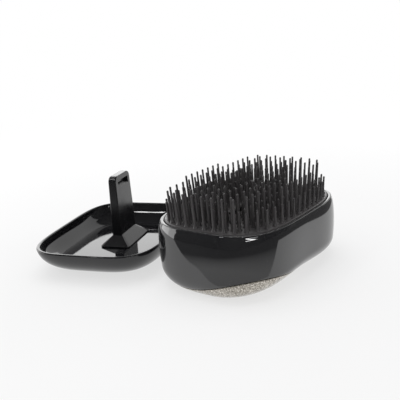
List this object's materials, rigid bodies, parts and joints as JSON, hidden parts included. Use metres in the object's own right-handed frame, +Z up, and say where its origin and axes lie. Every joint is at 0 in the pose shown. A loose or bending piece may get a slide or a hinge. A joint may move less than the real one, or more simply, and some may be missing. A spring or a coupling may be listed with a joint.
{
  "type": "hair grooming brush",
  "caption": "Palm-sized hair brush lying on its domed back, teeth up, with its clip-on cover lying open beside it and a clip tab standing in the cover.",
  "frame": {"origin": "middle of the flat on the brush's domed back, where it rests", "axes": "+X along the brush's long side, +Y across the brush towards the cover that lies beside it, +Z up along the teeth"},
  "size_m": [0.1082, 0.1442, 0.0459],
  "materials": {
    "body_shell": "glossy black, mirror-like",
    "back_panel": "champagne glitter under a clear gloss",
    "inner_frame": "plain moulded black",
    "tooth_pad": "satin black, soft sheen on the teeth",
    "tab_socket": "plain moulded black",
    "catch_tongue": "plain moulded black",
    "cover_shell": "glossy black, mirror-like",
    "cover_floor": "glossy black",
    "cover_tab": "satin black"
  },
  "bodies": {
    "brush": {"body_shell": "body_shell", "back_panel": "back_panel", "inner_frame": "inner_frame", "tooth_pad_front": "tooth_pad", "tooth_pad_rear": "tooth_pad", "tooth_pad_end": "tooth_pad", "tooth_pad_middle": "tooth_pad", "tab_socket": "tab_socket"},
    "catch": {"catch_tongue": "catch_tongue"},
    "cover": {"cover_shell": "cover_shell", "cover_floor": "cover_floor", "cover_tab": "cover_tab"}
  },
  "joints": [
    {"name": "cover_lift", "type": "slide", "parent": "brush", "child": "cover", "axis": [0, 0, 1], "range_m": [0, 0.12]},
    {"name": "catch_flex", "type": "hinge", "parent": "brush", "child": "catch", "pos_m": [-0.0065, -0.0035, 0.0223], "axis": [-1, 0, 0], "range_deg": [0, 6], "stiffness_Nm_per_rad": 0.5}
  ]
}
